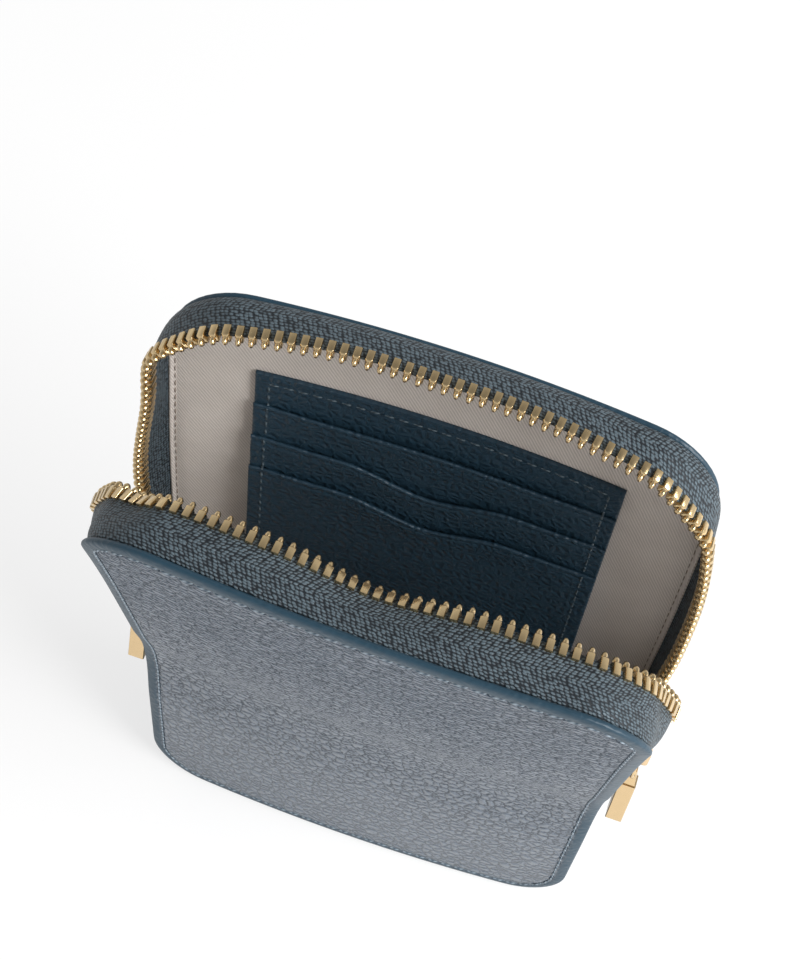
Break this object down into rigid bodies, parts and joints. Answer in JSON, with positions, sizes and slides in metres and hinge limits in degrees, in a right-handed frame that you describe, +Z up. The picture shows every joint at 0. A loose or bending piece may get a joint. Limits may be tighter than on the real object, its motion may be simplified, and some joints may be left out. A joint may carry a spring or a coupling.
{
  "type": "zip-around phone pouch",
  "caption": "Upright zip-around leather phone pouch, open at the top, with woven zip tapes, gold teeth, side sliders with bar pulls and a stepped card holder inside.",
  "frame": {"origin": "middle of the flat base that the pouch stands on", "axes": "+Z up, X across the width, -Y towards the front flap"},
  "size_m": [0.1262, 0.0639, 0.1845],
  "materials": {
    "leather": "pebbled, satin",
    "card_leather": "pebbled, satin",
    "stiffener": "matt",
    "lining": "twill weave, matt",
    "zip_tape": "woven herringbone, matt",
    "gold_metal": "polished pale gold plate"
  },
  "bodies": {
    "pouch_body": {"back_panel": "leather", "front_panel_lower": "leather", "gusset": "leather", "card_backing": "card_leather", "card_pocket_top": "card_leather", "card_pocket_middle": "card_leather", "card_pocket_front": "card_leather", "back_stiffener": "stiffener", "front_stiffener_lower": "stiffener", "back_lining": "lining", "front_lining_lower": "lining", "gusset_lining": "lining", "back_zip_tape": "zip_tape", "back_zip_teeth": "gold_metal", "back_end_stops": "gold_metal"},
    "front_flap": {"front_panel_upper": "leather", "front_stiffener_upper": "stiffener", "front_lining_upper": "lining", "front_zip_tape": "zip_tape", "front_zip_teeth": "gold_metal", "front_end_stops": "gold_metal"},
    "left_slider": {"left_slider_body": "gold_metal", "left_slider_bail": "gold_metal"},
    "left_ring": {"left_pull_ring": "gold_metal"},
    "left_pull": {"left_pull_bar": "gold_metal"},
    "right_slider": {"right_slider_body": "gold_metal", "right_slider_bail": "gold_metal"},
    "right_ring": {"right_pull_ring": "gold_metal"},
    "right_pull": {"right_pull_bar": "gold_metal"}
  },
  "joints": [
    {"name": "front_flap_fold", "type": "hinge", "parent": "pouch_body", "child": "front_flap", "pos_m": [0, -0.0157, 0.064], "axis": [1, 0, 0], "range_deg": [-15.5, 0]},
    {"name": "left_slider_travel", "type": "slide", "parent": "pouch_body", "child": "left_slider", "axis": [0, 0, 1], "range_m": [0, 0.085]},
    {"name": "left_ring_swing", "type": "hinge", "parent": "left_slider", "child": "left_ring", "pos_m": [-0.06057, 0, 0.07075], "axis": [0, 1, 0], "range_deg": [0, 150]},
    {"name": "left_pull_swing", "type": "hinge", "parent": "left_ring", "child": "left_pull", "pos_m": [-0.06057, -0.00141, 0.0641], "axis": [0, 0.9781, -0.2079], "range_deg": [0, 35]},
    {"name": "right_slider_travel", "type": "slide", "parent": "pouch_body", "child": "right_slider", "axis": [0, 0, 1], "range_m": [0, 0.085]},
    {"name": "right_ring_swing", "type": "hinge", "parent": "right_slider", "child": "right_ring", "pos_m": [0.06057, 0, 0.07075], "axis": [0, -1, 0], "range_deg": [0, 150]},
    {"name": "right_pull_swing", "type": "hinge", "parent": "right_ring", "child": "right_pull", "pos_m": [0.06057, -0.00141, 0.0641], "axis": [0, -0.9781, 0.2079], "range_deg": [0, 35]}
  ],
  "couplings": [
    {"joint": "left_slider_travel", "follows": "front_flap_fold", "m_per_rad": -0.31417},
    {"joint": "right_slider_travel", "follows": "front_flap_fold", "m_per_rad": -0.31417}
  ]
}
